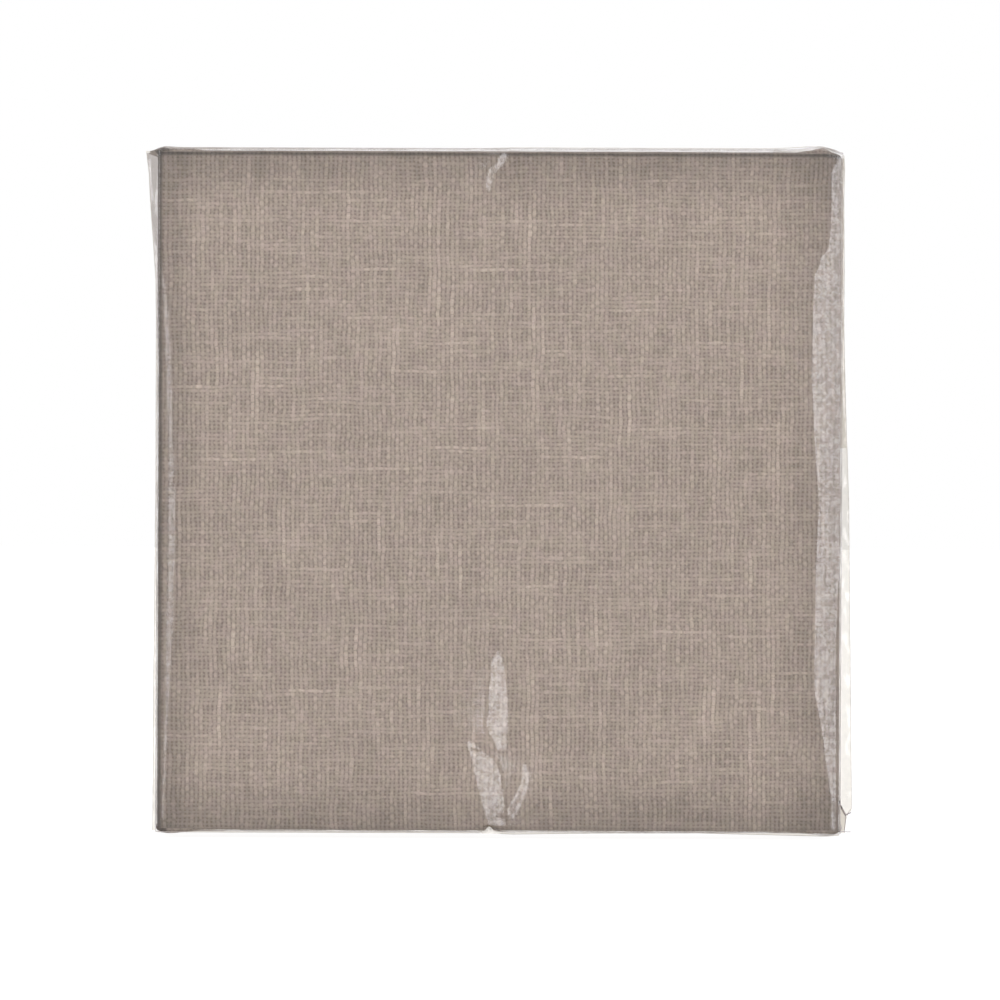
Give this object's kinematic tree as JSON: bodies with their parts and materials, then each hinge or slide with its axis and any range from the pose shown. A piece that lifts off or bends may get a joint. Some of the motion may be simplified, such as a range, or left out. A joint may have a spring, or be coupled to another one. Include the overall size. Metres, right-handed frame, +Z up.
{
  "type": "stretched canvas",
  "caption": "Small square stretched linen canvas on a wooden stretcher frame with corner keys, stapled at the back and sealed in clear shrink film.",
  "frame": {"origin": "middle of the flat base that the bottom edge stands on", "axes": "+Z up, the picture side faces -Y, +X to the right of someone looking at the picture side"},
  "size_m": [0.1566, 0.0212, 0.1558],
  "materials": {
    "linen": "clear-primed natural linen, plain weave",
    "bar_pine": "planed pine",
    "key_beech": "sawn beech",
    "staple_steel": "galvanised flat wire",
    "film": "clear shrink film"
  },
  "bodies": {
    "canvas": {"bar_top": "bar_pine", "bar_right": "bar_pine", "bar_bottom": "bar_pine", "bar_left": "bar_pine", "linen": "linen", "staple_top_1": "staple_steel", "staple_top_2": "staple_steel", "staple_top_3": "staple_steel", "staple_top_4": "staple_steel", "staple_corner_top_right": "staple_steel", "staple_right_1": "staple_steel", "staple_right_2": "staple_steel", "staple_right_3": "staple_steel", "staple_right_4": "staple_steel", "staple_corner_right_bottom": "staple_steel", "staple_bottom_1": "staple_steel", "staple_bottom_2": "staple_steel", "staple_bottom_3": "staple_steel", "staple_bottom_4": "staple_steel", "staple_corner_bottom_left": "staple_steel", "staple_left_1": "staple_steel", "staple_left_2": "staple_steel", "staple_left_3": "staple_steel", "staple_left_4": "staple_steel", "staple_corner_left_top": "staple_steel", "film_front_web": "film", "film_back_web": "film"},
    "key_top_bar_right_end": {"key_top_bar_right_end": "key_beech"},
    "key_top_bar_left_end": {"key_top_bar_left_end": "key_beech"},
    "key_right_bar_bottom_end": {"key_right_bar_bottom_end": "key_beech"},
    "key_right_bar_top_end": {"key_right_bar_top_end": "key_beech"},
    "key_bottom_bar_left_end": {"key_bottom_bar_left_end": "key_beech"},
    "key_bottom_bar_right_end": {"key_bottom_bar_right_end": "key_beech"},
    "key_left_bar_top_end": {"key_left_bar_top_end": "key_beech"},
    "key_left_bar_bottom_end": {"key_left_bar_bottom_end": "key_beech"}
  },
  "joints": [
    {"name": "key_top_bar_right_end_draw", "type": "slide", "parent": "canvas", "child": "key_top_bar_right_end", "axis": [-1, 0, 0], "range_m": [0, 0.014]},
    {"name": "key_top_bar_left_end_draw", "type": "slide", "parent": "canvas", "child": "key_top_bar_left_end", "axis": [1, 0, 0], "range_m": [0, 0.014]},
    {"name": "key_right_bar_bottom_end_draw", "type": "slide", "parent": "canvas", "child": "key_right_bar_bottom_end", "axis": [0, 0, 1], "range_m": [0, 0.014]},
    {"name": "key_right_bar_top_end_draw", "type": "slide", "parent": "canvas", "child": "key_right_bar_top_end", "axis": [0, 0, -1], "range_m": [0, 0.014]},
    {"name": "key_bottom_bar_left_end_draw", "type": "slide", "parent": "canvas", "child": "key_bottom_bar_left_end", "axis": [1, 0, 0], "range_m": [0, 0.014]},
    {"name": "key_bottom_bar_right_end_draw", "type": "slide", "parent": "canvas", "child": "key_bottom_bar_right_end", "axis": [-1, 0, 0], "range_m": [0, 0.014]},
    {"name": "key_left_bar_top_end_draw", "type": "slide", "parent": "canvas", "child": "key_left_bar_top_end", "axis": [0, 0, -1], "range_m": [0, 0.014]},
    {"name": "key_left_bar_bottom_end_draw", "type": "slide", "parent": "canvas", "child": "key_left_bar_bottom_end", "axis": [0, 0, 1], "range_m": [0, 0.014]}
  ]
}
